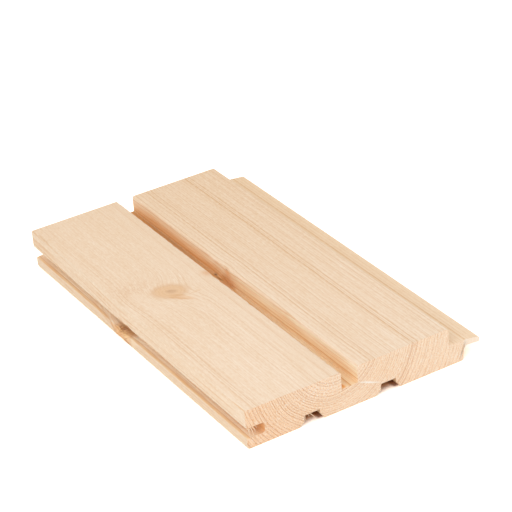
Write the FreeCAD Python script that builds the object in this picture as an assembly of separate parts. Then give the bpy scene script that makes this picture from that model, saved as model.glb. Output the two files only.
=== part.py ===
import FreeCAD, Part
import math
import os

# Tongue and groove cladding board, a cut sample of planed softwood.
# The board lies flat with its face up. X runs across it from the groove to the tongue,
# Y runs along the grain and Z is up. The origin is at the middle of its underside.
# All sizes are in millimetres.

# The board
board_length = 240.0
board_thickness = 23.0

# The face: two planks with a channel between them, and an open joint at the tongue side
plank_width = 57.5
channel_width = 10.0
joint_gap = 10.0
floor_height = 12.9

# The tongue: it leaves the root wall, and its upper side falls evenly from the right-hand plank
tongue_reach = 10.0
tongue_top_fall = 2.2
tongue_underside_height = 7.8
tongue_tip_radius = 0.9
root_fillet = 0.8
root_wall_undercut = 0.8

# The groove that takes the tongue of the next board
tongue_clearance_above = 0.5
tongue_clearance_below = 1.5
tongue_clearance_ahead = 0.8
groove_corner_radius = 1.3

# Relief grooves in the underside, which keep the board from cupping
relief_spacing = 47.2
relief_depth = 6.3
relief_top_width = 9.6
relief_near_flare_run = 3.4
relief_near_flare_rise = 2.6
relief_far_flare_run = 2.6
relief_far_flare_rise = 4.0

# Marks left by the tip of the cutter, in one corner of the channel and of each relief groove
channel_nick_width = 1.8
channel_nick_depth = 0.9
relief_nick_width = 1.2
relief_nick_depth = 0.5

# Eased edges
face_edge_radius = 1.2
back_edge_radius = 1.4
lip_edge_radius = 0.6

# Places across the board, from its groove side
groove_side = 0.0
channel_left = groove_side + plank_width
channel_right = channel_left + channel_width
shelf_wall = channel_right + plank_width
root_wall = shelf_wall + joint_gap
tongue_tip = root_wall + tongue_reach
board_width = tongue_tip - groove_side
channel_middle = (channel_left + channel_right) / 2

# Heights above the underside
tongue_slope = tongue_top_fall / (joint_gap + tongue_reach)
tongue_root_top = floor_height - tongue_slope * joint_gap
tongue_tip_top = floor_height - tongue_top_fall
groove_top = tongue_root_top + tongue_clearance_above
groove_bottom = tongue_underside_height - tongue_clearance_below
groove_back = groove_side + tongue_reach + tongue_clearance_ahead


def relief_corners(middle):
    """Corners of one relief groove, from its tongue-side mouth to its groove-side mouth."""
    top_left = middle - relief_top_width / 2
    top_right = middle + relief_top_width / 2
    return [
        (top_right + relief_far_flare_run, 0.0, 0.0),
        (top_right, relief_far_flare_rise, 0.0),
        (top_right, relief_depth + relief_nick_depth, 0.0),
        (top_right - relief_nick_width, relief_depth, 0.0),
        (top_left, relief_depth, lip_edge_radius),
        (top_left, relief_near_flare_rise, 0.0),
        (top_left - relief_near_flare_run, 0.0, 0.0),
    ]


def section_corners():
    """Corners of the whole section as (across, height, radius), clockwise from the groove side."""
    face = [
        (groove_side, groove_top, lip_edge_radius),
        (groove_side, board_thickness, face_edge_radius),
        (channel_left, board_thickness, face_edge_radius),
        (channel_left, floor_height - channel_nick_depth, 0.0),
        (channel_left + channel_nick_width, floor_height, 0.0),
        (channel_right, floor_height, lip_edge_radius),
        (channel_right, board_thickness, face_edge_radius),
        (shelf_wall, board_thickness, face_edge_radius),
        (shelf_wall, floor_height, lip_edge_radius),
    ]
    tongue = [
        (tongue_tip, tongue_tip_top, tongue_tip_radius),
        (tongue_tip, tongue_underside_height, tongue_tip_radius),
        (root_wall, tongue_underside_height, root_fillet),
        (root_wall - root_wall_undercut, 0.0, back_edge_radius),
    ]
    underside = relief_corners(channel_middle + relief_spacing / 2)
    underside += relief_corners(channel_middle - relief_spacing / 2)
    groove = [
        (groove_side, 0.0, back_edge_radius),
        (groove_side, groove_bottom, lip_edge_radius),
        (groove_back, groove_bottom, groove_corner_radius),
        (groove_back, groove_top, groove_corner_radius),
    ]
    return face + tongue + underside + groove


def rounded_wire(corners):
    """A closed wire in the XZ plane, straight between the corners and an arc at each rounded one."""
    edges = []
    count = len(corners)
    stretches = []
    for index in range(count):
        x, z, radius = corners[index]
        here = FreeCAD.Vector(x, 0, z)
        before = FreeCAD.Vector(corners[index - 1][0], 0, corners[index - 1][1])
        after = FreeCAD.Vector(corners[(index + 1) % count][0], 0, corners[(index + 1) % count][1])
        to_before = (before - here).normalize()
        to_after = (after - here).normalize()
        if radius == 0.0:
            stretches.append((here, None, here))
            continue
        half_angle = to_before.getAngle(to_after) / 2
        setback = radius / math.tan(half_angle)
        bisector = (to_before + to_after).normalize()
        centre = here + bisector * (radius / math.sin(half_angle))
        stretches.append((here + to_before * setback, centre - bisector * radius, here + to_after * setback))
    for index in range(count):
        start, middle, end = stretches[index]
        if middle is not None:
            edges.append(Part.Arc(start, middle, end).toShape())
        following = stretches[(index + 1) % count][0]
        edges.append(Part.LineSegment(end, following).toShape())
    return Part.Wire(edges)


def make_board():
    """The whole board, planed from one piece: its section carried along the grain."""
    section = Part.Face(rounded_wire(section_corners()))
    board = section.extrude(FreeCAD.Vector(0, board_length, 0))
    board.translate(FreeCAD.Vector(-board_width / 2, -board_length / 2, 0))
    return board


os.makedirs("parts", exist_ok=True)
board = make_board()
board.exportStep("parts/cladding_board.step")
print("board", round(board.Volume / 1000, 1), "cm3", board.BoundBox, "valid", board.isValid())
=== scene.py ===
# %% [markdown]
# # A tongue and groove board
#
# The real object is one short length of planed softwood cladding. A moulder cut its whole
# section in one pass: two flat planks with a channel between them, a groove along the left
# edge, a tongue along the right edge and two relief grooves underneath. This lesson dresses
# that section as wood. The frame already holds the exact shape, so the work here is in the
# grain, the knots, the saw-cut ends and the small damage along the edges.

# %% Tools, units and the frame
import math
import random

import bpy
from mathutils import Matrix, Vector, noise


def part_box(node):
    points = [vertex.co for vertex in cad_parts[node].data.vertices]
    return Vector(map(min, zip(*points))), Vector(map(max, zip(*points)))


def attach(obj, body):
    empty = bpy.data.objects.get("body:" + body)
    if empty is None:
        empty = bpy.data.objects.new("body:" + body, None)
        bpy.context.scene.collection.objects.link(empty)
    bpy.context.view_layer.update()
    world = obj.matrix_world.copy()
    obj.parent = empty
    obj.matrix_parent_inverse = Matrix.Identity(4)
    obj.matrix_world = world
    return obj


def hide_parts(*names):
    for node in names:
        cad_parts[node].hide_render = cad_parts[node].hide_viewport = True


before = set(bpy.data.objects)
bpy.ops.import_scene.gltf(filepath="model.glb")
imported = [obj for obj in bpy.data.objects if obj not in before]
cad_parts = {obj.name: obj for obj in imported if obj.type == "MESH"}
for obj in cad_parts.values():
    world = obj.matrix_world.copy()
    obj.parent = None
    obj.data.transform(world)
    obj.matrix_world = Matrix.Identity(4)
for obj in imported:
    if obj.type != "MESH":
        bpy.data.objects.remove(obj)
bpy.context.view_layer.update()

MM = 0.001
NODE = "cladding_board"
LOW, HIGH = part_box(NODE)
LEFT, RIGHT = LOW.x, HIGH.x
NEAR_END, FAR_END = LOW.y, HIGH.y
FACE_HEIGHT = HIGH.z
chance = random.Random(7)
print("board box in mm", [round(v / MM, 1) for v in LOW], [round(v / MM, 1) for v in HIGH])

# %% [markdown]
# Places on the board are easiest to read as a joiner would measure them: across the board
# from the groove side, along it from the near end and up from the underside, all in
# millimetres. One small function turns such a place into a point of the scene.


# %% A joiner's measure
def place(across, along, up):
    """A point of the scene from millimetres across, along and up."""
    return Vector((LEFT + across * MM, NEAR_END + along * MM, up * MM))


BOARD_LENGTH = (FAR_END - NEAR_END) / MM
BOARD_WIDTH = (RIGHT - LEFT) / MM
BOARD_THICKNESS = FACE_HEIGHT / MM
print("length", round(BOARD_LENGTH, 1), "width", round(BOARD_WIDTH, 1), "thickness", round(BOARD_THICKNESS, 1))

# %% [markdown]
# ## The camera
#
# The camera looks down on the board from its near end, on the groove side, through a long
# lens, as in a catalogue. It is described by where it looks and from how far, so that each
# number can be changed by itself. The picture is turned a few degrees, because the board was
# laid at a slant in the frame.

# %% Camera
LOOK_AT = place(97.25, 148.19, 11.5)
CAMERA_DISTANCE = 1.17506
CAMERA_AZIMUTH = math.radians(-29.278)
CAMERA_ELEVATION = math.radians(29.258)
CAMERA_ROLL = math.radians(-4.925)
CAMERA_LENS = 143.88
CAMERA_SENSOR = 36.0


def aim_camera():
    """A camera at the distance and angles above, turned about its own line of sight."""
    back = Vector((
        math.sin(CAMERA_AZIMUTH) * math.cos(CAMERA_ELEVATION),
        -math.cos(CAMERA_AZIMUTH) * math.cos(CAMERA_ELEVATION),
        math.sin(CAMERA_ELEVATION),
    ))
    bpy.ops.object.camera_add(location=LOOK_AT + back * CAMERA_DISTANCE)
    camera = bpy.context.object
    camera.name = "camera"
    camera.rotation_mode = "QUATERNION"
    level = back.to_track_quat("Z", "Y")
    camera.rotation_quaternion = level @ Matrix.Rotation(CAMERA_ROLL, 3, "Z").to_quaternion()
    camera.data.lens = CAMERA_LENS
    camera.data.sensor_width = CAMERA_SENSOR
    bpy.context.scene.camera = camera
    return camera


camera = aim_camera()
print("camera at", [round(v, 3) for v in camera.location])

# %% [markdown]
# ## Colours and nodes
#
# Colours are written as the hex values that a paint program shows. Blender mixes light in
# linear values, so one function converts them. A second one adds a shader node with its
# settings and its links, and every material below is built with it.


# %% Helpers for materials
def paint(hex_colour):
    """A linear colour with alpha from an sRGB hex value."""
    parts = [int(hex_colour[i:i + 2], 16) / 255 for i in (1, 3, 5)]
    linear = [v / 12.92 if v <= 0.04045 else ((v + 0.055) / 1.055) ** 2.4 for v in parts]
    return (*linear, 1.0)


def add_node(tree, kind, inputs=None, **settings):
    """Add one node, set its properties, then feed its inputs with sockets or plain values."""
    node = tree.nodes.new(kind)
    for name, value in settings.items():
        setattr(node, name, value)
    for key, value in (inputs or {}).items():
        if isinstance(value, bpy.types.Node):
            value = value.outputs[0]
        if isinstance(value, bpy.types.NodeSocket):
            tree.links.new(value, node.inputs[key])
        else:
            node.inputs[key].default_value = value
    return node


# %% [markdown]
# ## The studio
#
# The board lies in soft light on a white sweep. The world lights it evenly from all round,
# and a broad lamp to the near left gives the planed faces a little shape. To the camera the
# world and the floor show plain white, while they light the board at a lower level, so the
# wood keeps its own colour. Right under the board the sweep carries a painted brown shade,
# standing for the shadow there and for light that the wood has already coloured, with
# darker painted shade strips under the far walls of the relief grooves.

# %% World, floor and lamps
WORLD_LIGHT = 0.832
FLOOR_COLOUR = paint("#F2F2F0")
FLOOR_TO_CAMERA = (1.75, 1.68, 1.62, 1.0)
# Painted shade on the floor: brown under the board, darkest in strips under the relief grooves.
PAINTED_SHADE_UNDER_BOARD = (0.80, 0.44, 0.25, 1.0)
PAINTED_SHADE_UNDER_FLARES = paint("#9A5E34")
UNDER_BOARD_START, UNDER_BOARD_FADE = 0.5, 7.0
UNDER_FLARES = (-27.0, 20.2)


def white_world():
    """White to the camera, a softer white to everything that it lights."""
    world = bpy.data.worlds.new("studio")
    bpy.context.scene.world = world
    world.use_nodes = True
    tree = world.node_tree
    tree.nodes.clear()
    path = add_node(tree, "ShaderNodeLightPath")
    shown = path.outputs["Is Camera Ray"]
    for ray in ("Is Glossy Ray", "Is Transmission Ray"):
        shown = add_node(tree, "ShaderNodeMath", {0: shown, 1: path.outputs[ray]}, operation="MAXIMUM")
    lit = add_node(tree, "ShaderNodeBackground", {"Color": (1, 1, 1, 1), "Strength": WORLD_LIGHT})
    seen = add_node(tree, "ShaderNodeBackground", {"Color": (1, 1, 1, 1), "Strength": 1.0})
    mixed = add_node(tree, "ShaderNodeMixShader", {0: shown, 1: lit, 2: seen})
    add_node(tree, "ShaderNodeOutputWorld", {"Surface": mixed})


def white_floor():
    """A wide pale floor that keeps the board's soft shadow but clips to white away from it, with painted brown
    shade under the board.
    """
    bpy.ops.mesh.primitive_plane_add(size=6.0, location=(0, 0, -0.02 * MM))
    floor = bpy.context.object
    floor.name = "floor"
    material = bpy.data.materials.new("white_sweep_painted_shade")
    material.use_nodes = True
    tree = material.node_tree
    tree.nodes.clear()
    path = add_node(tree, "ShaderNodeLightPath")
    shown = path.outputs["Is Camera Ray"]
    for ray in ("Is Glossy Ray", "Is Transmission Ray"):
        shown = add_node(tree, "ShaderNodeMath", {0: shown, 1: path.outputs[ray]}, operation="MAXIMUM")
    texture = add_node(tree, "ShaderNodeTexCoord")
    local = add_node(tree, "ShaderNodeVectorMath", {0: texture.outputs["Object"], 1: (1 / MM, 1 / MM, 1 / MM)},
                     operation="MULTIPLY")
    size = add_node(tree, "ShaderNodeVectorMath", {0: local}, operation="ABSOLUTE")
    parts = add_node(tree, "ShaderNodeSeparateXYZ", {0: size})
    # cover: where the painted brown shade under the board lies, fading in from the board's edges.
    cover = 1.0
    for axis, half in (("X", BOARD_WIDTH / 2 - 10.0), ("Y", BOARD_LENGTH / 2)):
        inside = add_node(tree, "ShaderNodeMapRange", {
            0: parts.outputs[axis], 1: half - UNDER_BOARD_START, 2: half - UNDER_BOARD_FADE, 3: 0.0, 4: 1.0,
        }, interpolation_type="SMOOTHSTEP")
        cover = add_node(tree, "ShaderNodeMath", {0: inside, 1: cover}, operation="MULTIPLY")
    at = add_node(tree, "ShaderNodeSeparateXYZ", {0: local})
    # Darker painted shade in strips under the relief grooves' far walls, fading in just inside the ends.
    deep = add_node(tree, "ShaderNodeMapRange", {
        0: parts.outputs["Y"], 1: BOARD_LENGTH / 2 - 0.6, 2: BOARD_LENGTH / 2 - 2.5, 3: 0.0, 4: 0.85,
    })
    strips = 0.0
    for flare in UNDER_FLARES:
        aside = add_node(tree, "ShaderNodeMath", {0: at.outputs["X"], 1: flare}, operation="SUBTRACT")
        gap = add_node(tree, "ShaderNodeMath", {0: aside}, operation="ABSOLUTE")
        strip = add_node(tree, "ShaderNodeMapRange", {0: gap, 1: 3.0, 2: 1.4, 3: 0.0, 4: 1.0})
        strip = add_node(tree, "ShaderNodeMath", {0: strip, 1: deep}, operation="MULTIPLY")
        strips = add_node(tree, "ShaderNodeMath", {0: strips, 1: strip}, operation="MAXIMUM")
    shades = []
    for open_floor in (FLOOR_TO_CAMERA, FLOOR_COLOUR):
        shade = add_node(tree, "ShaderNodeMix", {0: cover, 6: open_floor, 7: PAINTED_SHADE_UNDER_BOARD}, data_type="RGBA")
        shade = add_node(tree, "ShaderNodeMix", {0: strips, 6: shade.outputs[2], 7: PAINTED_SHADE_UNDER_FLARES},
                         data_type="RGBA")
        shades.append(add_node(tree, "ShaderNodeBsdfDiffuse", {"Color": shade.outputs[2]}))
    bright, matt = shades
    mixed = add_node(tree, "ShaderNodeMixShader", {0: shown, 1: matt, 2: bright})
    add_node(tree, "ShaderNodeOutputMaterial", {"Surface": mixed})
    floor.data.materials.append(material)
    return floor


def soft_lamp(name, location, target, size, watts):
    """A square area lamp that faces a target."""
    bpy.ops.object.light_add(type="AREA", location=location)
    lamp = bpy.context.object
    lamp.name = name
    lamp.data.shape = "SQUARE"
    lamp.data.size = size
    lamp.data.energy = watts
    lamp.rotation_euler = (Vector(location) - Vector(target)).to_track_quat("Z", "Y").to_euler()
    return lamp


white_world()
white_floor()
BOARD_MIDDLE = place(BOARD_WIDTH / 2, BOARD_LENGTH / 2, BOARD_THICKNESS)
soft_lamp("key_lamp", (-0.75, -0.65, 0.75), BOARD_MIDDLE, 0.7, 4.5)
print("studio ready")

# %% [markdown]
# ## The board's shape
#
# The frame holds the section exactly, so the dressed board starts as a copy of it. Its mesh
# is loose triangles, which are merged and dissolved to clean faces. Then the board is cut
# across on a fine grid, because knots, torn fibres and worn edges need points to move.

# %% Copy of the section
GRID_ACROSS = 2.0
GRID_UP = 2.0
GRID_ALONG = 1.0
CLEAR_OF_EDGE = 0.35


def only(piece):
    """Select one piece alone and make it active."""
    bpy.ops.object.select_all(action="DESELECT")
    piece.select_set(True)
    bpy.context.view_layer.objects.active = piece


def copy_of_frame_node(name, piece_name):
    """The frame's node as a new piece with clean, joined faces."""
    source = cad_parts[name]
    piece = source.copy()
    piece.data = source.data.copy()
    piece.parent = None
    for key in list(piece.keys()):
        del piece[key]
    piece.name = piece_name
    bpy.context.scene.collection.objects.link(piece)
    only(piece)
    bpy.ops.mesh.customdata_custom_splitnormals_clear()
    bpy.ops.object.mode_set(mode="EDIT")
    bpy.ops.mesh.select_all(action="SELECT")
    bpy.ops.mesh.remove_doubles(threshold=0.001 * MM)
    bpy.ops.mesh.dissolve_limited(angle_limit=math.radians(0.4))
    bpy.ops.object.mode_set(mode="OBJECT")
    return piece


def cut_across(piece, axis, spacing, low, high):
    """Bisect the whole piece with planes at an even spacing, clear of the corners it already has."""
    direction = Vector([1.0 if i == axis else 0.0 for i in range(3)])
    corners = sorted({round(v.co[axis] / MM, 3) for v in piece.data.vertices})
    count = round((high - low) / MM / spacing)
    only(piece)
    bpy.ops.object.mode_set(mode="EDIT")
    made = 0
    for step in range(1, count):
        value = low / MM + (high - low) / MM * step / count
        if min(abs(value - corner) for corner in corners) < CLEAR_OF_EDGE:
            continue
        bpy.ops.mesh.select_all(action="SELECT")
        bpy.ops.mesh.bisect(plane_co=direction * value * MM, plane_no=direction)
        made += 1
    bpy.ops.object.mode_set(mode="OBJECT")
    return made


def cut_lengthwise(piece, spacing):
    """Divide every long edge evenly, so that the faces become a ladder from end to end."""
    cuts = round((FAR_END - NEAR_END) / MM / spacing) - 1
    only(piece)
    bpy.context.scene.tool_settings.mesh_select_mode = (False, True, False)
    bpy.ops.object.mode_set(mode="EDIT")
    bpy.ops.mesh.select_all(action="DESELECT")
    bpy.ops.object.mode_set(mode="OBJECT")
    mesh = piece.data
    for edge in mesh.edges:
        a, b = (mesh.vertices[i].co for i in edge.vertices)
        edge.select = abs(a.y - b.y) > 1 * MM
    bpy.ops.object.mode_set(mode="EDIT")
    bpy.ops.mesh.subdivide(number_cuts=cuts)
    bpy.ops.mesh.select_mode(type="VERT")
    bpy.ops.object.mode_set(mode="OBJECT")


board = copy_of_frame_node(NODE, "board")
cut_across(board, 0, GRID_ACROSS, LEFT, RIGHT)
cut_across(board, 2, GRID_UP, 0.0, FACE_HEIGHT)
cut_lengthwise(board, GRID_ALONG)
print("board faces", len(board.data.polygons))

# %% [markdown]
# ## What the tools did to the edges
#
# The moulder and the saw leave small faults that tell a real board from a drawing. The edge
# of the left plank along the channel is torn, since its fibres lifted there. The dead knot in
# the groove broke out and left a ragged pocket. The lower lip of the groove ends a little short
# at the far end, and the tongue splintered behind the saw cut at the near end. The points of the
# board are moved a millimetre or two at most, each fault by one rule about where it is and how
# deep it goes.

# %% Worn, torn and broken edges
TORN_EDGE_ACROSS = 57.5
TORN_EDGE_REACH = 1.6
TORN_EDGE_DEPTH = 0.55
POCKET = (0.8, 134.5, 5.0)
POCKET_REACH = (4.5, 6.5, 5.5)
POCKET_DEPTH = 1.7
LIP_BREAK_ACROSS = 11.5
LIP_BREAK = 2.3
TONGUE_SET_BACK = 1.2


def closeness(point, centre, reach):
    """1 at the centre of a fault, falling to 0 at its reach on each axis."""
    distance = math.sqrt(sum(((p - c) / r) ** 2 for p, c, r in zip(point, centre, reach)))
    return max(0.0, 1.0 - distance) ** 2 * (1.0 + 2.0 * distance)


def rough(point, size, seed):
    """Uneven noise between -1 and 1, with lumps of this size in millimetres."""
    return noise.noise(Vector([p / size for p in point]) + Vector((seed, seed, seed)))


def torn_edge(point, normal):
    """Bites out of the left plank's edge, deeper in its near half."""
    across, along, up = point
    near = closeness((across, up), (TORN_EDGE_ACROSS, BOARD_THICKNESS), (TORN_EDGE_REACH, TORN_EDGE_REACH))
    if near == 0.0 or across > TORN_EDGE_ACROSS + 0.1:
        return Vector()
    bite = max(0.0, rough((0.0, along, 0.0), 2.3, 3.1) + 0.35 * rough((0.0, along, 0.0), 0.9, 8.4))
    strength = 1.0 if along < 125.0 else 0.55
    return Vector((-1.0, 0.0, -0.7)) * near * bite * strength * TORN_EDGE_DEPTH * 1.6


def knot_pocket(point, normal):
    """The dead knot's broken wood on the groove's lower lip, and the nick in the upper one."""
    across, along, up = point
    near = closeness(point, POCKET, POCKET_REACH)
    lumps = 0.6 + 0.9 * rough(point, 1.7, 5.5)
    move = -normal * near * POCKET_DEPTH * max(0.0, lumps)
    upper = closeness((along, up), (129.0, 12.3), (11.0, 1.8)) if across < 1.5 else 0.0
    nick = max(0.0, rough((0.0, along, 0.0), 1.9, 1.7) + 0.25)
    return move + Vector((0.35, 0.0, 1.0)) * upper * nick * 1.3


def channel_hole(point, normal):
    """The small hole where the channel's knot lost its edge."""
    near = closeness(point, (57.6, 126.0, 22.0), (1.6, 3.4, 3.4))
    lumps = closeness(point, (67.5, 133.0, 16.5), (2.5, 13.0, 7.0)) * rough(point, 1.6, 2.2)
    return Vector((-1.3, 0.0, -0.5)) * near + normal * lumps * 0.45


def short_lip(point, normal):
    """The far end of the groove's lower lip, which broke off a little short."""
    across, along, up = point
    if across > LIP_BREAK_ACROSS or up > 7.0 or along < BOARD_LENGTH - 3 * LIP_BREAK:
        return Vector()
    share = 1.0 - across / LIP_BREAK_ACROSS
    reach = (along - BOARD_LENGTH + 3 * LIP_BREAK) / (3 * LIP_BREAK)
    return Vector((0.0, -1.0, 0.0)) * share * reach * (LIP_BREAK + 0.5 * rough((across, 0.0, up), 2.0, 6.3))


def tongue_end(point, normal):
    """The tongue's near end, which splintered a little behind the saw cut."""
    across, along, up = point
    if along > 3.0 or across < 136.0:
        return Vector()
    share = min(1.0, (across - 136.0) / 0.8) * (BOARD_WIDTH - across) / 9.0 * (1.0 - along / 3.0)
    return Vector((0.0, 1.0, 0.0)) * share * TONGUE_SET_BACK * (1.0 + 0.5 * rough((across, 0.0, up), 1.5, 4.7))


def mark_board(piece, rules):
    """Move each point of the board by what the rules say, and keep it above the floor."""
    moved = 0
    for vertex in piece.data.vertices:
        point = ((vertex.co.x - LEFT) / MM, (vertex.co.y - NEAR_END) / MM, vertex.co.z / MM)
        shift = Vector()
        for rule in rules:
            shift += rule(point, vertex.normal)
        if shift.length > 0.01:
            vertex.co += shift * MM
            vertex.co.z = max(vertex.co.z, 0.0)
            moved += 1
    piece.data.update()
    return moved


print("points moved", mark_board(board, (torn_edge, knot_pocket, channel_hole, short_lip, tongue_end)))

# %% [markdown]
# Torn fibres are long, thin and curled. One sliver is modelled: a cone that is cut across a
# few times so that it can bend. Each copy of it is laid from a root on the board towards a
# tip, with its own curl, and all copies become one piece.

# %% Torn fibres
SLIVER_SIDES = 5
SLIVER_CUTS = 6
slivers = []


def sliver_master():
    """A slim cone of unit length and unit radius, cut across so that it can bend."""
    bpy.ops.object.select_all(action="DESELECT")
    bpy.ops.mesh.primitive_cone_add(vertices=SLIVER_SIDES, radius1=1.0, radius2=0.25, depth=1.0,
                                    location=(0, 0, 0.5))
    master = bpy.context.object
    bpy.ops.object.transform_apply(location=True, rotation=True, scale=True)
    bpy.ops.object.mode_set(mode="EDIT")
    for cut in range(1, SLIVER_CUTS):
        bpy.ops.mesh.select_all(action="SELECT")
        bpy.ops.mesh.bisect(plane_co=(0, 0, cut / SLIVER_CUTS), plane_no=(0, 0, 1))
    bpy.ops.object.mode_set(mode="OBJECT")
    return master


def lay_sliver(master, root, tip, width, curl):
    """A copy of the sliver from a root to a tip, bowed sideways by a curl, all in millimetres."""
    start, end = place(*root), place(*tip)
    run = end - start
    frame_turn = run.to_track_quat("Z", "X").to_matrix()
    piece = master.copy()
    piece.data = master.data.copy()
    bpy.context.scene.collection.objects.link(piece)
    bow = Vector(curl) * MM
    for vertex in piece.data.vertices:
        x, y, t = vertex.co
        around = frame_turn @ Vector((x * width * MM, y * width * MM * 0.45, t * run.length))
        vertex.co = start + around + bow * (4.0 * t * (1.0 - t))
    slivers.append(piece)


master = sliver_master()
HANGING = (
    ((37.2, 0.6, 6.5), (41.4, 0.15, 0.9), 0.24, (0.3, -0.2, 0.2)),
    ((34.9, 0.5, 6.4), (35.3, 0.15, 2.6), 0.26, (-0.5, -0.2, 0.0)),
    ((36.0, 0.5, 6.4), (36.8, 0.1, 4.3), 0.18, (0.5, -0.2, 0.0)),
    ((82.2, 0.5, 6.4), (81.7, 0.15, 3.9), 0.22, (-0.3, 0.0, 0.0)),
    ((3.4, 0.4, 12.4), (5.0, 0.1, 8.2), 0.26, (0.6, -0.2, 0.0)),
    ((1.9, 0.4, 12.4), (2.5, 0.15, 9.6), 0.2, (-0.3, -0.1, 0.0)),
    ((4.9, 0.4, 12.5), (6.2, 0.1, 10.6), 0.17, (0.2, 0.0, 0.0)),
    ((0.9, 0.4, 12.3), (2.0, 0.1, 7.4), 0.24, (0.2, -0.1, 0.0)),
    ((2.6, 0.4, 12.4), (4.2, 0.1, 6.7), 0.26, (0.2, -0.1, 0.0)),
    ((125.05, 0.2, 22.0), (125.2, 0.1, 14.5), 0.28, (0.15, -0.1, 0.0)),
    ((57.4, 71.5, 22.6), (60.0, 70.2, 23.3), 0.10, (0.3, 0.8, 0.5)),
    ((57.3, 14.5, 22.6), (59.1, 12.6, 22.9), 0.11, (0.2, 0.5, 0.5)),
    ((57.3, 4.4, 22.6), (58.9, 3.2, 22.7), 0.10, (0.2, 0.4, 0.3)),
    ((67.3, 146.0, 21.5), (66.6, 149.0, 23.0), 0.16, (-0.3, 0.0, 0.3)),
)
for root, tip, width, curl in HANGING:
    lay_sliver(master, root, tip, width, curl)

FUZZ_COUNT = 70
for _ in range(FUZZ_COUNT):
    along = chance.uniform(1.0, 122.0)
    root = (57.25, along, chance.uniform(21.6, 22.7))
    tip = (57.6 + chance.uniform(0.2, 0.8), along + chance.uniform(-1.6, 0.9), root[2] + chance.uniform(-0.5, 0.5))
    lay_sliver(master, root, tip, chance.uniform(0.05, 0.09), (0.1, chance.uniform(-0.2, 0.2), 0.1))

SPLINTER_COUNT = 12
for _ in range(SPLINTER_COUNT):
    across = chance.uniform(0.3, 4.5)
    along = chance.uniform(129.0, 140.0)
    root = (across, along, 5.8)
    tip = (across - chance.uniform(0.1, 0.8), along - chance.uniform(2.0, 4.5), 6.4 + chance.uniform(0.0, 1.4))
    lay_sliver(master, root, tip, chance.uniform(0.12, 0.28), (0.0, 0.0, chance.uniform(0.0, 0.5)))

for piece in slivers:
    piece.select_set(True)
bpy.data.objects.remove(master)
only(slivers[0])
for piece in slivers:
    piece.select_set(True)
bpy.ops.object.join()
fibres = bpy.context.object
fibres.name = "torn_fibres"
bpy.ops.object.mode_set(mode="EDIT")
bpy.ops.mesh.select_all(action="SELECT")
bpy.ops.mesh.normals_make_consistent(inside=False)
bpy.ops.object.mode_set(mode="OBJECT")
print("fibres", len(slivers), "faces", len(fibres.data.polygons))

# %% [markdown]
# ## How the grain runs
#
# The board was sawn from a spruce stem whose pith, the middle of the tree, lay just above the
# face. So the yearly rings cut the board as arcs: nearly level under the channel, steep at
# both edges. Flat patterns would never join up round the corners. Here the rings are one
# solid pattern in space, as in the tree, and every face simply shows where it cuts them.
#
# Each ring is pale early wood that ends in a thin, darker line of late wood. A curve turns the
# distance from the pith into a ring number, because the tree grew faster in some years.
# The whole part of that number tells one year from the next, and its fraction says where in
# the year a point lies.

# %% The pith and the rings
PITH_ACROSS, PITH_UP = 55.0, 35.0
PITH_DRIFT = 0.0033
RING_ZONES = ((12.0, 1.9), (25.0, 1.3), (46.0, 1.9), (56.0, 2.2), (66.0, 2.4), (90.0, 2.5))
STRONG_RINGS = ((24.6, 0.25), (26.7, 0.65), (28.8, 0.25), (47.3, 0.40), (49.4, 1.0),
                (52.0, 0.85), (59.0, 0.40), (63.4, 0.40), (66.7, 0.60), (84.8, 1.25))
STRONG_RING_HALF_WIDTH = 0.25
STRONG_RING_SPREAD = 0.2
OUTERMOST_RING = 100.0
LINES_LEFT_FRONT, LINES_LEFT_BACK, LINES_RIGHT = 0.58, 0.28, 1.3


def board_millimetres(tree):
    """The joiner's measure as a vector: millimetres across, along and up."""
    texture = add_node(tree, "ShaderNodeTexCoord")
    return add_node(tree, "ShaderNodeMapping", {
        "Vector": texture.outputs["Object"],
        "Location": (-LEFT / MM, -NEAR_END / MM, 0.0),
        "Scale": (1 / MM, 1 / MM, 1 / MM),
    })


def cloud(tree, vector, size, detail=2.0, roughness=0.5):
    """Soft noise between 0 and 1, whose blots have this size in millimetres on each axis."""
    scaled = add_node(tree, "ShaderNodeMapping", {"Vector": vector, "Scale": [1 / side for side in size]})
    return add_node(tree, "ShaderNodeTexNoise", {"Vector": scaled, "Scale": 1.0, "Detail": detail,
                                                 "Roughness": roughness})


def away_from(tree, vector, centre, turn, radii):
    """Distance from a centre, counted in radii, so that 1 is the surface of an ellipsoid."""
    local = add_node(tree, "ShaderNodeMapping", {
        "Vector": vector,
        "Location": centre,
        "Rotation": [math.radians(angle) for angle in turn],
        "Scale": radii,
    }, vector_type="TEXTURE")
    return add_node(tree, "ShaderNodeVectorMath", {0: local}, operation="LENGTH").outputs["Value"]


def swell(tree, vector, centre, turn, radii, height):
    """A smooth hill of a height, as wide as the radii say."""
    distance = away_from(tree, vector, centre, turn, radii)
    square = add_node(tree, "ShaderNodeMath", {0: distance, 1: distance}, operation="MULTIPLY")
    fall = add_node(tree, "ShaderNodeMath", {0: square, 1: -1.0}, operation="MULTIPLY")
    hill = add_node(tree, "ShaderNodeMath", {0: fall}, operation="EXPONENT")
    return add_node(tree, "ShaderNodeMath", {0: hill, 1: height}, operation="MULTIPLY")


def ramp(tree, factor, stops, interpolation="LINEAR"):
    """A colour ramp from pairs of a place and a grey level or a colour."""
    node = add_node(tree, "ShaderNodeValToRGB", {0: factor})
    node.color_ramp.interpolation = interpolation
    points = node.color_ramp.elements
    while len(points) < len(stops):
        points.new(1.0)
    for point, (position, colour) in zip(points, stops):
        point.position = position
        point.color = colour if isinstance(colour, tuple) else (colour, colour, colour, 1.0)
    return node


# %% [markdown]
# Three branches left knots, and all of them grew from the pith at the same height, as the
# branches of a spruce do. Round a branch the rings bulge outwards, so the lines on the face lean
# towards the knot. Each knot is an ellipsoid for the branch wood and a wider hill
# that pushes the rings outwards.

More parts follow.
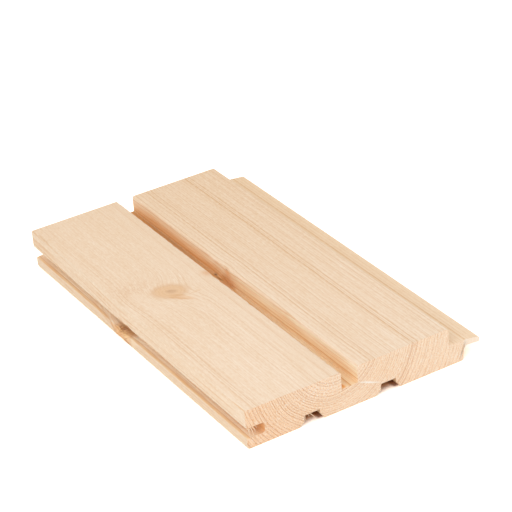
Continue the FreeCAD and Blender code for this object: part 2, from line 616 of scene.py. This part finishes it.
# %% The three knots
FACE_KNOT = ((29.2, 127.0, 23.0), (0, 0, -28), (10.4, 7.8, 30.0))
FACE_KNOT_TAIL = ((31.5, 117.0, 23.0), (0, 0, -44), (7.0, 2.4, 30.0))
FACE_KNOT_CORE = ((30.2, 126.2, 23.0), (0, 0, -30), (2.9, 2.2, 30.0))
CHANNEL_KNOT = ((61.0, 129.5, 9.5), (0, 0, 0), (8.6, 8.6, 11.0))
SIDE_KNOT = ((0.0, 131.5, 5.5), (0, 0, 0), (25.0, 8.5, 7.5))
PUSHES = (
    ((23.0, 130.0, 23.0), (0, 0, -10), (17.0, 14.0, 40.0), (-5.0, 0.0, -1.5)),
    ((34.0, 119.0, 23.0), (0, 0, 0), (10.0, 14.0, 40.0), (-3.0, 0.0, -1.0)),
    ((64.0, 131.0, 14.0), (0, 0, 0), (13.0, 10.0, 16.0), (1.3, 0.0, -0.5)),
    ((0.0, 138.0, 7.0), (0, 0, 0), (12.0, 22.0, 9.0), (-4.0, 0.0, -3.6)),
)


# Soft spots of colour round the knots: knot stains, with the rows marked below being painted shade.
KNOT_STAINS_AND_PAINTED_SHADE = (
    ("#C4946E", 0.45, (29.6, 127.0, 23.0), (0, 0, -30), (2.2, 1.0, 9.0)),
    ("#D69E66", 0.45, (31.0, 120.6, 23.0), (0, 0, -35), (4.2, 0.6, 9.0)),
    ("#D4965A", 0.45, (30.4, 116.6, 23.0), (0, 0, -44), (5.5, 0.7, 9.0)),
    ("#E9C193", 0.45, (40.5, 118.0, 23.0), (0, 0, 4), (5.0, 0.8, 9.0)),
    ("#E4AE7C", 0.70, (55.6, 131.6, 23.0), (0, 0, 8), (2.6, 3.6, 3.0)),
    ("#FFF0DA", 0.60, (67.6, 144.5, 21.6), (0, 0, 0), (1.2, 2.4, 0.9)),
    ("#F3B87C", 0.65, (67.5, 129.0, 19.6), (0, 0, 0), (1.8, 2.8, 1.9)),
    ("#C07A42", 0.55, (67.5, 129.8, 21.5), (0, 0, 0), (1.0, 1.4, 0.5)),
    ("#C4803F", 0.38, (67.5, 132.1, 14.0), (18, 0, 0), (1.8, 4.5, 0.8)),
    ("#CC9468", 0.40, (67.1, 125.5, 12.9), (0, 0, 0), (1.2, 4.0, 0.8)),
    # These two rows are painted shade at the foot of the channel's right wall, beside the hole in the left plank's
    # edge.
    ("#6A3F18", 0.85, (66.9, 142.3, 12.9), (0, 0, 0), (0.7, 1.3, 0.7)),
    ("#8A5724", 0.70, (66.2, 137.0, 12.9), (0, 0, 0), (0.5, 3.2, 0.6)),
    # This row is a painted shadow line on the groove floor under the upper lip's edge.
    ("#9A6C42", 0.60, (3.6, 133.0, 6.3), (0, 0, 0), (0.9, 9.5, 1.2)),
    ("#B98048", 0.60, (1.0, 137.0, 6.3), (0, 0, 0), (0.5, 2.4, 1.0)),
    ("#BC7A48", 0.60, (2.2, 134.8, 6.3), (0, 0, 0), (1.2, 1.5, 1.2)),
    ("#A9742F", 0.85, (0.0, 134.7, 4.8), (-20, 0, 0), (1.0, 1.5, 1.0)),
    ("#F0C68A", 0.85, (0.3, 129.2, 6.0), (0, 0, 0), (1.3, 2.6, 1.3)),
    ("#C08C5C", 0.60, (2.6, 126.3, 6.3), (0, 0, 0), (1.5, 3.2, 1.2)),
    ("#DBA278", 0.60, (0.0, 134.0, 1.9), (0, 0, 0), (1.2, 2.4, 1.3)),
    ("#A06A44", 0.85, (0.0, 127.0, 1.4), (13, 0, 0), (1.2, 3.8, 0.8)),
    ("#F4DAB4", 0.60, (0.0, 119.5, 5.0), (0, 0, 0), (1.6, 3.2, 2.6)),
)
GRAIN_PARTS = (
    "Late", "Rings", "Fibre", "Fleck", "Cloud", "Lip", "Tear", "Splinter", "Face knot", "Face core", "Face tail",
    "Channel knot", "Side knot", "Knot rings", "Knot rim", "Across", "Along", "Up", "Sunk",
)


def spruce_grain():
    """The one solid grain pattern of the board, as a group that all its surfaces share."""
    tree = bpy.data.node_groups.new("spruce_grain", "ShaderNodeTree")
    for name in GRAIN_PARTS:
        tree.interface.new_socket(name, in_out="OUTPUT", socket_type="NodeSocketFloat")
    point = board_millimetres(tree)

    bent = point
    for centre, turn, radii, move in PUSHES:
        share = swell(tree, point, centre, turn, radii, 1.0)
        push = add_node(tree, "ShaderNodeVectorMath", {0: move, "Scale": share}, operation="SCALE")
        bent = add_node(tree, "ShaderNodeVectorMath", {0: bent, 1: push}, operation="SUBTRACT")
    wander = cloud(tree, point, (38, 120, 38))
    quiver = cloud(tree, point, (7, 26, 7), detail=3.0)
    wander_mm = add_node(tree, "ShaderNodeMath", {0: wander, 1: 2.0, 2: -1.0}, operation="MULTIPLY_ADD")
    quiver_mm = add_node(tree, "ShaderNodeMath", {0: quiver, 1: 0.4, 2: wander_mm}, operation="MULTIPLY_ADD")
    radius = away_from(tree, bent, (PITH_ACROSS, 0.0, PITH_UP), (0, 0, -math.degrees(PITH_DRIFT)),
                       (1.0, 1e9, 1.0))
    radius = add_node(tree, "ShaderNodeMath", {0: radius, 1: quiver_mm}, operation="ADD")

    year_stops = []
    year = 0.0
    for (here, width), (following, _) in zip(RING_ZONES, RING_ZONES[1:]):
        year_stops.append((here / OUTERMOST_RING, year))
        year += (following - here) / width
    year_stops.append((RING_ZONES[-1][0] / OUTERMOST_RING, year))
    share = add_node(tree, "ShaderNodeMath", {0: radius, 1: OUTERMOST_RING}, operation="DIVIDE")
    calendar = ramp(tree, share, [(place_, years / year) for place_, years in year_stops])
    years = add_node(tree, "ShaderNodeMath", {0: calendar, 1: year}, operation="MULTIPLY")
    uneven = add_node(tree, "ShaderNodeTexNoise", {"W": years, "Scale": 0.45, "Detail": 1.0},
                      noise_dimensions="1D")
    years = add_node(tree, "ShaderNodeMath", {0: uneven, 1: 0.9, 2: years}, operation="MULTIPLY_ADD")
    number = add_node(tree, "ShaderNodeMath", {0: years}, operation="FLOOR")
    season = add_node(tree, "ShaderNodeMath", {0: years}, operation="FRACT")
    luck = add_node(tree, "ShaderNodeTexWhiteNoise", {"W": number}, noise_dimensions="1D")
    darkness = ramp(tree, luck, [(0.0, 0.30), (0.6, 0.48), (0.85, 0.7), (1.0, 1.0)])
    line = ramp(tree, season, [(0.0, 0.15), (0.06, 0.0), (0.55, 0.05), (0.78, 0.35), (0.89, 1.0),
                               (0.94, 1.0), (1.0, 0.15)])
    late = add_node(tree, "ShaderNodeMath", {0: line, 1: darkness}, operation="MULTIPLY")
    vigour = ramp(tree, share, [(0.18, 1.0), (0.28, 1.1), (0.31, 0.65), (0.44, 0.6), (0.48, 1.0),
                                (0.55, 0.7), (0.7, 0.8), (0.8, 1.25)])
    late = add_node(tree, "ShaderNodeMath", {0: late, 1: vigour}, operation="MULTIPLY")
    even = add_node(tree, "ShaderNodeMath", {0: luck, 1: 0.45, 2: 0.5}, operation="MULTIPLY_ADD")
    rings = add_node(tree, "ShaderNodeMath", {0: line, 1: even}, operation="MULTIPLY")

    for ring, strength in STRONG_RINGS:
        past = add_node(tree, "ShaderNodeMath", {0: radius, 1: ring}, operation="SUBTRACT")
        gap = add_node(tree, "ShaderNodeMath", {0: past}, operation="ABSOLUTE")
        half_width = STRONG_RING_HALF_WIDTH + STRONG_RING_SPREAD * strength
        accent = add_node(tree, "ShaderNodeMapRange", {0: gap, 1: half_width, 2: 0.0, 3: 0.0, 4: strength})
        late = add_node(tree, "ShaderNodeMath", {0: late, 1: accent}, operation="MAXIMUM")

    parts = add_node(tree, "ShaderNodeSeparateXYZ", {0: point})
    left_lines = add_node(tree, "ShaderNodeMapRange", {0: parts.outputs["Y"], 1: 120.0, 2: 165.0,
                                                       3: LINES_LEFT_FRONT, 4: LINES_LEFT_BACK})
    lines = add_node(tree, "ShaderNodeMapRange", {0: parts.outputs["X"], 1: 48.0, 2: 64.0,
                                                  3: left_lines, 4: LINES_RIGHT})
    edge_lines = add_node(tree, "ShaderNodeMapRange", {0: parts.outputs["X"], 1: 16.0, 2: 6.0, 3: 0.0, 4: 0.22})
    lines = add_node(tree, "ShaderNodeMath", {0: lines, 1: edge_lines}, operation="ADD")
    late = add_node(tree, "ShaderNodeMath", {0: late, 1: lines}, operation="MULTIPLY")
    from_pith = add_node(tree, "ShaderNodeVectorMath", {0: bent, 1: (PITH_ACROSS, 0.0, PITH_UP)},
                         operation="SUBTRACT")
    away = add_node(tree, "ShaderNodeSeparateXYZ", {0: from_pith})
    angle = add_node(tree, "ShaderNodeMath", {0: away.outputs["Z"], 1: away.outputs["X"]}, operation="ARCTAN2")
    arc = add_node(tree, "ShaderNodeMath", {0: angle, 1: 40.0}, operation="MULTIPLY")
    grain_way = add_node(tree, "ShaderNodeCombineXYZ", {0: radius, 1: parts.outputs["Y"], 2: arc})
    fibre = cloud(tree, grain_way, (0.55, 26.0, 0.9), detail=3.0, roughness=0.6)
    fleck = cloud(tree, grain_way, (0.8, 2.6, 0.8), detail=2.0, roughness=0.6)
    blotch = cloud(tree, point, (26.0, 60.0, 26.0), detail=3.0)
    rise = add_node(tree, "ShaderNodeMapRange", {0: parts.outputs["Y"], 1: 135.0, 2: 240.0, 3: 0.0, 4: 4.5})
    dip = add_node(tree, "ShaderNodeCombineXYZ", {2: rise})
    lip_way = add_node(tree, "ShaderNodeVectorMath", {0: bent, 1: dip}, operation="SUBTRACT")
    lip = cloud(tree, lip_way, (5.0, 90.0, 0.85), detail=1.0)
    sag = swell(tree, point, (0.0, 138.0, 7.0), (0, 0, 0), (12.0, 12.0, 9.0), 2.6)
    sunk = add_node(tree, "ShaderNodeMath", {0: parts.outputs["X"], 1: sag}, operation="ADD")
    tear = cloud(tree, grain_way, (0.45, 3.0, 2.4), detail=2.0, roughness=0.6)
    slanted = add_node(tree, "ShaderNodeMapping", {"Vector": point, "Rotation": (0.57, 0.0, 0.0)})
    splinter = cloud(tree, slanted, (2.0, 9.0, 0.8), detail=2.0)

    raggedness = cloud(tree, point, (3.0, 3.0, 3.0), detail=3.0)
    ragged = add_node(tree, "ShaderNodeVectorMath", {0: raggedness.outputs["Color"], 1: (2.0, 2.0, 2.0),
                                                     2: point}, operation="MULTIPLY_ADD")
    ragged = add_node(tree, "ShaderNodeVectorMath", {0: ragged, 1: (1.0, 1.0, 1.0)}, operation="SUBTRACT")
    masks = []
    for knot in (FACE_KNOT, FACE_KNOT_TAIL, FACE_KNOT_CORE, CHANNEL_KNOT, SIDE_KNOT):
        distance = away_from(tree, ragged, *knot)
        masks.append(add_node(tree, "ShaderNodeMapRange", {0: distance, 1: 1.3, 2: 0.6, 3: 0.0, 4: 1.0},
                              interpolation_type="SMOOTHSTEP"))
    face_knot = masks[0]

    around_core = away_from(tree, ragged, FACE_KNOT_CORE[0], FACE_KNOT_CORE[1], (1.9, 1.6, 1e9))
    around_channel = away_from(tree, ragged, CHANNEL_KNOT[0], CHANNEL_KNOT[1], (1.4, 1.4, 1e9))
    around_side = away_from(tree, ragged, SIDE_KNOT[0], SIDE_KNOT[1], (1e9, 1.3, 1.3))
    knot_rings = 0.0
    rim = 0.0
    faint_face = add_node(tree, "ShaderNodeMath", {0: face_knot, 1: 0.5}, operation="MULTIPLY")
    for around, mask in ((around_core, faint_face), (around_channel, masks[3]), (around_side, masks[4])):
        part = add_node(tree, "ShaderNodeMath", {0: around}, operation="FRACT")
        shaped = ramp(tree, part, [(0.0, 0.3), (0.15, 0.0), (0.6, 0.2), (0.9, 1.0), (1.0, 0.3)])
        inside = add_node(tree, "ShaderNodeMath", {0: shaped, 1: mask}, operation="MULTIPLY")
        knot_rings = add_node(tree, "ShaderNodeMath", {0: inside, 1: knot_rings}, operation="ADD")
        outer = ramp(tree, mask, [(0.0, 0.0), (0.35, 1.0), (0.85, 0.0)])
        rim = add_node(tree, "ShaderNodeMath", {0: outer, 1: rim}, operation="ADD")

    add_node(tree, "NodeGroupOutput", {
        "Late": late, "Rings": rings, "Fibre": fibre, "Fleck": fleck, "Cloud": blotch, "Lip": lip,
        "Tear": tear, "Splinter": splinter, "Knot rim": rim, "Face knot": face_knot,
        "Face core": masks[2], "Face tail": masks[1], "Channel knot": masks[3], "Side knot": masks[4], "Knot rings": knot_rings,
        "Across": parts.outputs["X"], "Along": parts.outputs["Y"], "Up": parts.outputs["Z"], "Sunk": sunk,
    })
    return tree


GRAIN = spruce_grain()
print("grain group", len(GRAIN.nodes), "nodes")

# %% [markdown]
# ## Three finishes of one spruce
#
# The same wood looks different where it was worked in different ways. The planed face is
# pale and silky, with thin tan lines. The walls of the channel and the grooves were cut by a
# small profile cutter and get little light; their finish is painted warmer to stand for the
# bounced light, with painted shade and painted light in places. The ends were cut by a saw,
# which leaves them rougher and shows the rings as strong arcs.
#
# Each finish is a dielectric with the index of refraction of cellulose, about 1.53, and it
# has the grain group for its colour and its relief. Late wood is harder than early wood and
# stands a few hundredths of a millimetre proud after planing.

# %% Planed spruce
WOOD_IOR = 1.53
RELIEF_MIDDLES = (38.9, 86.1)


def spruce(name):
    """A material with the grain group, a shader and its output."""
    material = bpy.data.materials.new(name)
    material.use_nodes = True
    tree = material.node_tree
    tree.nodes.clear()
    grain = add_node(tree, "ShaderNodeGroup", node_tree=GRAIN)
    shader = add_node(tree, "ShaderNodeBsdfPrincipled", {"Roughness": 0.62, "IOR": WOOD_IOR,
                                                         "Specular IOR Level": 0.35})
    add_node(tree, "ShaderNodeOutputMaterial", {"Surface": shader})
    return material, tree, grain.outputs, shader


def tint(tree, under, over, amount, share=1.0, blend="MIX"):
    """Lay one colour over another by an amount that a pattern gives."""
    part = add_node(tree, "ShaderNodeMath", {0: amount, 1: share}, operation="MULTIPLY", use_clamp=True)
    node = add_node(tree, "ShaderNodeMix", {0: part, 6: under, 7: over}, data_type="RGBA", blend_type=blend)
    return node.outputs[2]


def relief(tree, shader, height, depth_mm):
    """Feed a height pattern to the shader as fine relief."""
    bump = add_node(tree, "ShaderNodeBump", {"Height": height, "Strength": 1.0, "Distance": depth_mm * MM})
    tree.links.new(bump.outputs[0], shader.inputs["Normal"])


def knots_in(tree, grain, colour, depth=1.0):
    """Lay the branch wood, its rings and its dark core over the stem wood."""
    point = board_millimetres(tree)
    colour = tint(tree, colour, paint("#F0C99C"), grain["Face knot"], 0.75 * depth)
    colour = tint(tree, colour, paint("#EBBE8E"), grain["Face tail"], 0.5 * depth)
    colour = tint(tree, colour, paint("#E0A066"), grain["Channel knot"], 0.6 * depth)
    colour = tint(tree, colour, paint("#F0BC80"), grain["Side knot"], 0.7 * depth)
    colour = tint(tree, colour, paint("#C58750"), grain["Knot rings"], 0.30 * depth)
    colour = tint(tree, colour, paint("#C78C55"), grain["Knot rim"], 0.22 * depth)
    for dark, share, low, high in (("#AC7040", 0.50, 0.50, 0.62), ("#F6D2A0", 0.60, 0.49, 0.38)):
        strand = add_node(tree, "ShaderNodeMapRange", {0: grain["Splinter"], 1: low, 2: high, 3: 0.0, 4: 1.0})
        strand = add_node(tree, "ShaderNodeMath", {0: strand, 1: grain["Side knot"]}, operation="MULTIPLY")
        colour = tint(tree, colour, paint(dark), strand, share)
    # Knot stains, and a few spots of painted shade, from the table.
    for spot_colour, strength, centre, turn, radii in KNOT_STAINS_AND_PAINTED_SHADE:
        colour = tint(tree, colour, paint(spot_colour), swell(tree, point, centre, turn, radii, 1.0), strength)
    band = swell(tree, point, (13.0, 142.0, 23.0), (0, 0, -6), (15.0, 7.5, 4.0), 1.0)
    mark = cloud(tree, point, (0.6, 2.2, 2.0), detail=1.0)
    mark = add_node(tree, "ShaderNodeMapRange", {0: mark, 1: 0.46, 2: 0.64, 3: 0.0, 4: 1.0})
    band = add_node(tree, "ShaderNodeMath", {0: band, 1: mark}, operation="MULTIPLY")
    colour = tint(tree, colour, paint("#D8A472"), band, 0.36)
    return tint(tree, colour, paint("#D3A882"), grain["Face core"], 0.45 * depth)


def painted_falloff(tree, grain):
    """Grows from 0 at the near groove side to 1 at the far tongue side, for the painted shade of the light falling
    off that way.
    """
    along = add_node(tree, "ShaderNodeMapRange", {0: grain["Along"], 1: 0.0, 2: 240.0, 3: 0.0, 4: 1.0})
    across = add_node(tree, "ShaderNodeMapRange", {0: grain["Across"], 1: 40.0, 2: 110.0, 3: 0.6, 4: 1.0})
    return add_node(tree, "ShaderNodeMath", {0: along, 1: across}, operation="MULTIPLY")


def planed_spruce():
    """The planed face, lips and back: pale, silky, with thin tan lines of late wood."""
    material, tree, grain, shader = spruce("planed_spruce")
    colour = tint(tree, paint("#FAE6D0"), paint("#F2D9BD"), grain["Cloud"], 0.8)
    # Painted shade: darker and warmer towards the far end and the tongue side, where the light falls off.
    colour = tint(tree, colour, paint("#E9C498"), painted_falloff(tree, grain), 0.5)
    colour = tint(tree, colour, paint("#CC8E38"), grain["Late"], 0.66)
    streak = add_node(tree, "ShaderNodeMapRange", {0: grain["Fibre"], 1: 0.62, 2: 0.40, 3: 0.0, 4: 1.0})
    colour = tint(tree, colour, paint("#E4BB8D"), streak, 0.36)
    # Painted shade: the groove-side faces of the lips are greyer and darker than the top.
    lip_painted_shade = add_node(tree, "ShaderNodeMapRange", {0: grain["Across"], 1: 1.6, 2: 0.3, 3: 0.0, 4: 0.65})
    colour = tint(tree, colour, paint("#E4CDB2"), lip_painted_shade)
    on_lips = add_node(tree, "ShaderNodeMapRange", {0: grain["Across"], 1: 2.5, 2: 0.5, 3: 0.0, 4: 0.8})
    lip_line = add_node(tree, "ShaderNodeMapRange", {0: grain["Lip"], 1: 0.54, 2: 0.63, 3: 0.0, 4: 1.0})
    colour = tint(tree, colour, paint("#DCB387"), lip_line, on_lips)
    pale = add_node(tree, "ShaderNodeMapRange", {0: grain["Fleck"], 1: 0.5, 2: 0.75, 3: 0.0, 4: 1.0})
    colour = tint(tree, colour, paint("#FCEBD6"), pale, 0.45)
    dim = add_node(tree, "ShaderNodeMapRange", {0: grain["Fleck"], 1: 0.45, 2: 0.28, 3: 0.0, 4: 1.0})
    colour = tint(tree, colour, paint("#E2BC90"), dim, 0.35)
    # Painted light: the shelf and the tongue beyond the wall are lighter and warmer, against the wall's shadow.
    painted_light_shelf = add_node(tree, "ShaderNodeMapRange", {0: grain["Across"], 1: 124.8, 2: 125.6, 3: 0.0, 4: 0.3})
    colour = tint(tree, colour, paint("#FFDDAE"), painted_light_shelf)
    outside = add_node(tree, "ShaderNodeMapRange", {0: grain["Across"], 1: 1.8, 2: 1.2, 3: 0.0, 4: 1.0})
    under = add_node(tree, "ShaderNodeMapRange", {0: grain["Up"], 1: 7.2, 2: 6.6, 3: 0.0, 4: outside})
    # Painted shade: the lower lip's outer face is a little greyer.
    colour = tint(tree, colour, paint("#DFC3A2"), under, 0.25)
    band = add_node(tree, "ShaderNodeMapRange", {0: grain["Sunk"], 1: 1.7, 2: 2.1, 3: 0.0, 4: under})
    colour = tint(tree, colour, paint("#EAB47C"), band, 0.55)
    past = add_node(tree, "ShaderNodeMath", {0: grain["Sunk"], 1: 1.9}, operation="SUBTRACT")
    gap = add_node(tree, "ShaderNodeMath", {0: past}, operation="ABSOLUTE")
    edge = add_node(tree, "ShaderNodeMapRange", {0: gap, 1: 0.25, 2: 0.0, 3: 0.0, 4: under})
    colour = tint(tree, colour, paint("#BE7C3C"), edge, 0.6)
    colour = knots_in(tree, grain, colour)
    tree.links.new(colour, shader.inputs["Base Color"])
    height = add_node(tree, "ShaderNodeMath", {0: grain["Late"], 1: 0.2, 2: grain["Fibre"]},
                      operation="MULTIPLY_ADD")
    height = add_node(tree, "ShaderNodeMath", {0: grain["Fleck"], 1: 0.8, 2: height}, operation="MULTIPLY_ADD")
    relief(tree, shader, height, 0.09)
    return material


def cut_spruce():
    """Walls and floors of the channel and the grooves, painted warm to stand for the bounced light that reaches
    them, with painted shade and painted light in places.
    """
    material, tree, grain, shader = spruce("cutter_worked_spruce_painted_shading")
    point = board_millimetres(tree)
    colour = tint(tree, paint("#FFF0D2"), paint("#FFE6BE"), grain["Cloud"], 0.8)
    past_groove = add_node(tree, "ShaderNodeMapRange", {0: grain["Across"], 1: 15.0, 2: 30.0, 3: 0.0, 4: 1.0})
    # Painted shade: the channel turns a deeper orange towards its far end.
    painted_shade_far_channel = add_node(tree, "ShaderNodeMapRange", {
        0: grain["Along"], 1: 105.0, 2: 150.0, 3: 0.08, 4: 0.6,
    }, interpolation_type="SMOOTHSTEP")
    painted_shade_far_channel = add_node(tree, "ShaderNodeMath", {0: past_groove, 1: painted_shade_far_channel}, operation="MULTIPLY")
    colour = tint(tree, colour, paint("#E8A95C"), painted_shade_far_channel, 0.85)
    # Painted light: the upper parts of the walls are paler.
    top = add_node(tree, "ShaderNodeMapRange", {0: grain["Up"], 1: 15.0, 2: 23.0, 3: 0.0, 4: 1.0})
    colour = tint(tree, colour, paint("#FFFAE6"), top, 0.85)
    # Painted shade along the foot of the channel's right wall in its far half.
    painted_shade_foot = swell(tree, point, (66.2, 208.0, 12.9), (0, 0, 0), (1.5, 62.0, 0.6), 1.0)
    colour = tint(tree, colour, paint("#8E5626"), painted_shade_foot, 0.65)
    # Painted shade in the corner where the channel's right wall meets its floor.
    corner = swell(tree, point, (67.5, 140.0, 12.5), (0, 0, 0), (1.6, 105.0, 0.8), 1.0)
    colour = tint(tree, colour, paint("#C48A4C"), corner, 0.4)
    # Painted shade: a small bright orange patch in the channel floor's left corner at the near end, standing for
    # the shaded wall of a small notch there.
    nick = swell(tree, point, (59.5, 2.0, 12.9), (0, 0, 0), (1.2, 2.6, 2.0), 1.0)
    colour = tint(tree, colour, paint("#F5A044"), nick, 0.9)
    # Painted shade: a weak brown on the far walls of the relief grooves near the near end.
    for middle in RELIEF_MIDDLES:
        shade = swell(tree, point, (middle + 5.6, 0.0, 3.6), (0, 0, 0), (2.2, 16.0, 4.6), 1.0)
        colour = tint(tree, colour, paint("#C8803F"), shade, 0.25)
    inside = add_node(tree, "ShaderNodeMapRange", {0: grain["Sunk"], 1: 1.5, 2: 2.3, 3: 0.0, 4: 1.0})
    inside = add_node(tree, "ShaderNodeMath", {0: inside, 1: past_groove}, operation="SUBTRACT")
    colour = tint(tree, colour, paint("#FFF3DE"), inside, 0.95)
    # Painted shade: a deeper tan near the side groove's mouth.
    painted_shade_mouth = add_node(tree, "ShaderNodeMapRange", {0: grain["Sunk"], 1: 2.0, 2: 1.5, 3: 0.0, 4: 0.45})
    colour = tint(tree, colour, paint("#EDC594"), painted_shade_mouth)
    past = add_node(tree, "ShaderNodeMath", {0: grain["Sunk"], 1: 1.9}, operation="SUBTRACT")
    gap = add_node(tree, "ShaderNodeMath", {0: past}, operation="ABSOLUTE")
    edge = add_node(tree, "ShaderNodeMapRange", {0: gap, 1: 0.4, 2: 0.0, 3: 0.0, 4: 1.0})
    colour = tint(tree, colour, paint("#C9863F"), edge, 0.5)
    # Painted shade in the back of the side groove near the near end.
    depth = swell(tree, point, (10.8, 0.0, 8.0), (0, 0, 0), (5.0, 30.0, 5.0), 1.0)
    colour = tint(tree, colour, paint("#E09A50"), depth, 0.8)
    colour = tint(tree, colour, paint("#D49044"), grain["Late"], 0.65)
    streak = add_node(tree, "ShaderNodeMapRange", {0: grain["Fibre"], 1: 0.62, 2: 0.40, 3: 0.0, 4: 1.0})
    colour = tint(tree, colour, paint("#E2A460"), streak, 0.45)
    colour = knots_in(tree, grain, colour)
    tree.links.new(colour, shader.inputs["Base Color"])
    relief(tree, shader, grain["Fibre"], 0.12)
    return material


def sawn_spruce():
    """The sawn ends: strong arcs of late wood over open, slightly torn early wood."""
    material, tree, grain, shader = spruce("sawn_spruce_end")
    shader.inputs["Roughness"].default_value = 0.8
    point = board_millimetres(tree)
    colour = tint(tree, paint("#FFE7CC"), paint("#FBD4A9"), grain["Cloud"], 0.8)
    groove_half = add_node(tree, "ShaderNodeMapRange", {0: grain["Across"], 1: 0.0, 2: 60.0, 3: 1.0, 4: 0.0})
    colour = tint(tree, colour, paint("#F3BC84"), groove_half, 0.5)
    sharp = add_node(tree, "ShaderNodeMapRange", {0: grain["Across"], 1: 36.0, 2: 60.0, 3: 0.95, 4: 0.26})
    arcs = add_node(tree, "ShaderNodeMath", {0: grain["Rings"], 1: sharp}, operation="MULTIPLY")
    colour = tint(tree, colour, paint("#CC8444"), arcs, 1.0)
    late_share = add_node(tree, "ShaderNodeMapRange", {0: grain["Across"], 1: 102.0, 2: 125.0, 3: 0.7, 4: 0.06})
    late = add_node(tree, "ShaderNodeMath", {0: grain["Late"], 1: late_share}, operation="MULTIPLY")
    colour = tint(tree, colour, paint("#CF8642"), late, 1.0)
    dim = add_node(tree, "ShaderNodeMapRange", {0: grain["Tear"], 1: 0.47, 2: 0.3, 3: 0.0, 4: 1.0})
    colour = tint(tree, colour, paint("#DDA066"), dim, 0.55)
    torn = add_node(tree, "ShaderNodeMapRange", {0: grain["Tear"], 1: 0.50, 2: 0.64, 3: 0.0, 4: 1.0})
    torn_most = swell(tree, point, (46.0, 0.0, 17.5), (0, 0, 0), (13.0, 50.0, 6.0), 0.6)
    torn_share = add_node(tree, "ShaderNodeMath", {0: torn_most, 1: 0.4}, operation="ADD")
    colour = tint(tree, colour, paint("#FFF8EF"), torn, torn_share)
    pore = cloud(tree, point, (0.5, 9.0, 0.5), detail=1.0)
    pale = add_node(tree, "ShaderNodeMapRange", {0: pore, 1: 0.5, 2: 0.66, 3: 0.0, 4: 0.5})
    colour = tint(tree, colour, paint("#FFF6EA"), pale)
    dark = add_node(tree, "ShaderNodeMapRange", {0: pore, 1: 0.5, 2: 0.34, 3: 0.0, 4: 0.4})
    colour = tint(tree, colour, paint("#E2A972"), dark)
    tongue = add_node(tree, "ShaderNodeMapRange", {0: grain["Across"], 1: 134.5, 2: 136.0, 3: 0.0, 4: 0.6})
    colour = tint(tree, colour, paint("#FFF0DE"), tongue)
    scratch = swell(tree, point, (74.5, 0.0, 10.2), (0, 21.9, 0), (6.5, 9.0, 0.5), 1.0)
    colour = tint(tree, colour, paint("#FFF8F0"), scratch, 0.9)
    tree.links.new(colour, shader.inputs["Base Color"])
    height = add_node(tree, "ShaderNodeMath", {0: grain["Rings"], 1: 0.8, 2: grain["Fleck"]},
                      operation="MULTIPLY_ADD")
    relief(tree, shader, height, 0.18)
    return material


FINISHES = [planed_spruce(), cut_spruce(), sawn_spruce()]
print("finishes", [finish.name for finish in FINISHES])

# %% [markdown]
# The faces of the board get their finish by where they are: the two ends first, then what
# lies inside the channel, the groove or a relief groove, and the rest is planed.

# %% Finishes on the board
CHANNEL_SPAN = (57.4, 67.6)
GROOVE_BACK = 10.9
GROOVE_BOTTOM, GROOVE_TOP = 6.0, 12.6
RELIEF_HALF_WIDTH = 8.3
RELIEF_DEPTH = 6.9
ROOT_WALL = (133.6, 135.6)
PLANED, CUT, SAWN = range(3)


def finish_of(centre, normal):
    """Which of the three finishes a face of the board has."""
    across = (centre.x - LEFT) / MM
    up = centre.z / MM
    if abs(normal.y) > 0.7:
        return SAWN
    if CHANNEL_SPAN[0] < across < CHANNEL_SPAN[1] and up < BOARD_THICKNESS - 0.8:
        return CUT
    if 0.25 < across < GROOVE_BACK and GROOVE_BOTTOM < up < GROOVE_TOP:
        return CUT
    if any(abs(across - middle) < RELIEF_HALF_WIDTH and 0.1 < up < RELIEF_DEPTH for middle in RELIEF_MIDDLES):
        return CUT
    return PLANED


board.data.materials.clear()
for finish in FINISHES:
    board.data.materials.append(finish)
counts = [0, 0, 0]
for face in board.data.polygons:
    face.material_index = finish_of(face.center, face.normal)
    counts[face.material_index] += 1
print("faces planed, cut and sawn", counts)

# %% [markdown]
# A loose fibre is a strand of pale early wood, thin enough for light to pass into it. It gets
# a plain pale finish of its own with a slight streak along each strand.

# %% Loose fibres
def loose_fibre():
    """Pale early wood in single strands."""
    material, tree, grain, shader = spruce("loose_spruce_fibre")
    colour = tint(tree, paint("#FBE6CE"), paint("#EFCFA8"), grain["Cloud"], 0.8)
    streak = add_node(tree, "ShaderNodeMapRange", {0: grain["Fleck"], 1: 0.45, 2: 0.7, 3: 0.0, 4: 1.0})
    colour = tint(tree, colour, paint("#E6BC8C"), streak, 0.4)
    colour = tint(tree, colour, paint("#B87B48"), grain["Side knot"], 0.75)
    tree.links.new(colour, shader.inputs["Base Color"])
    shader.inputs["Subsurface Weight"].default_value = 0.0
    return material


fibres.data.materials.clear()
fibres.data.materials.append(loose_fibre())

# %% Finish
only(board)
bpy.ops.object.shade_smooth_by_angle(angle=math.radians(35))
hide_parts(NODE)
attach(board, "root")
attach(fibres, "root")

bpy.context.scene.view_settings.view_transform = "Standard"
